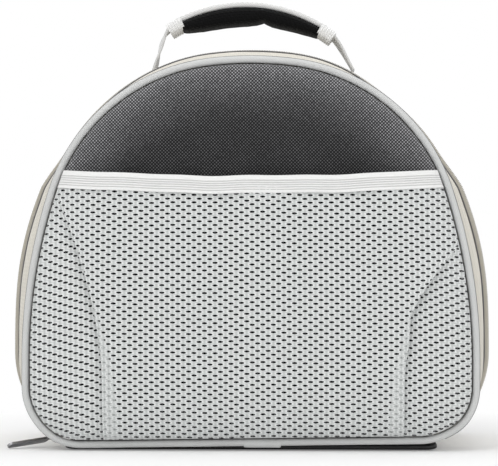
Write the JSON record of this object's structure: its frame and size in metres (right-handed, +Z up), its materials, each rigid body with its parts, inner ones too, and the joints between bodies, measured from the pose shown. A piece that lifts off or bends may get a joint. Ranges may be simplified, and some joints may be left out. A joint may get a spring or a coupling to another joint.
{
  "type": "bird travel carrier",
  "caption": "Arch-shaped soft bird travel carrier with a domed dark front door, mesh pocket, zip, black base, lift-out perch and padded handle",
  "frame": {"origin": "the middle of the base's underside, on the surface that the carrier stands on", "axes": "+X to the right seen from the front door, the front door faces -Y, +Z up"},
  "size_m": [0.3019, 0.1782, 0.2846],
  "materials": {
    "dark_fabric": "woven",
    "lining": "plain woven",
    "net": "knitted mesh",
    "elastic": "ribbed elastic",
    "piping": "woven",
    "beige_fabric": "woven",
    "zip_tape": "woven",
    "zip_coil": "moulded",
    "gunmetal": "gunmetal plated",
    "spring_steel": "plain",
    "dark_mesh": "knitted mesh",
    "black_base": "coated",
    "board": "sheet",
    "webbing": "woven webbing",
    "foam": "foam",
    "grip_wrap": "padded",
    "wood": "sanded",
    "moulded_plastic": "moulded",
    "pad": "felted"
  },
  "bodies": {
    "carrier": {"rear_gusset": "beige_fabric", "gusset_lining": "lining", "frame_hoops": "spring_steel", "rear_piping": "piping", "rear_panel": "dark_fabric", "rear_lining": "lining", "rear_window_mesh": "dark_mesh", "base_panel": "black_base", "base_board": "board", "door_sill": "lining", "rear_zip_tape": "zip_tape", "rear_zip_coil": "zip_coil", "zip_end_stops": "gunmetal", "handle_anchors": "webbing", "perch_saddles": "moulded_plastic", "saddle_rivets": "spring_steel"},
    "front_door": {"front_shell": "dark_fabric", "front_lining": "lining", "pocket_net_left": "net", "pocket_net_centre": "net", "pocket_net_right": "net", "pocket_band": "elastic", "front_piping": "piping", "piping_joint_cover": "piping", "front_gusset": "beige_fabric", "front_zip_tape": "zip_tape", "front_zip_coil": "zip_coil"},
    "zip_slider": {"zip_slider": "gunmetal"},
    "zip_pull": {"zip_pull": "gunmetal"},
    "handle": {"handle_strap": "webbing", "handle_core": "foam", "handle_grip": "grip_wrap", "grip_cuffs": "webbing"},
    "perch": {"perch_bar": "wood"},
    "floor_pad": {"floor_pad": "pad"}
  },
  "joints": [
    {"name": "door_hinge", "type": "hinge", "parent": "carrier", "child": "front_door", "pos_m": [0, -0.072, 0.0048], "axis": [1, 0, 0], "range_deg": [0, 65]},
    {"name": "slider_run", "type": "hinge", "parent": "carrier", "child": "zip_slider", "pos_m": [-0.0902, -0.046, 0.0604], "axis": [0, 1, 0], "range_deg": [0, 44]},
    {"name": "pull_swing", "type": "hinge", "parent": "zip_slider", "child": "zip_pull", "pos_m": [-0.12655, -0.046, 0.00651], "axis": [0, 1, 0], "range_deg": [0, 48]},
    {"name": "handle_tip", "type": "hinge", "parent": "carrier", "child": "handle", "pos_m": [0, 0.008, 0.24038], "axis": [1, 0, 0], "range_deg": [-28, 28]},
    {"name": "perch_lift", "type": "slide", "parent": "carrier", "child": "perch", "axis": [0, 0, 1], "range_m": [0, 0.024]},
    {"name": "pad_lift", "type": "slide", "parent": "carrier", "child": "floor_pad", "axis": [0, 0, 1], "range_m": [0, 0.03]}
  ]
}
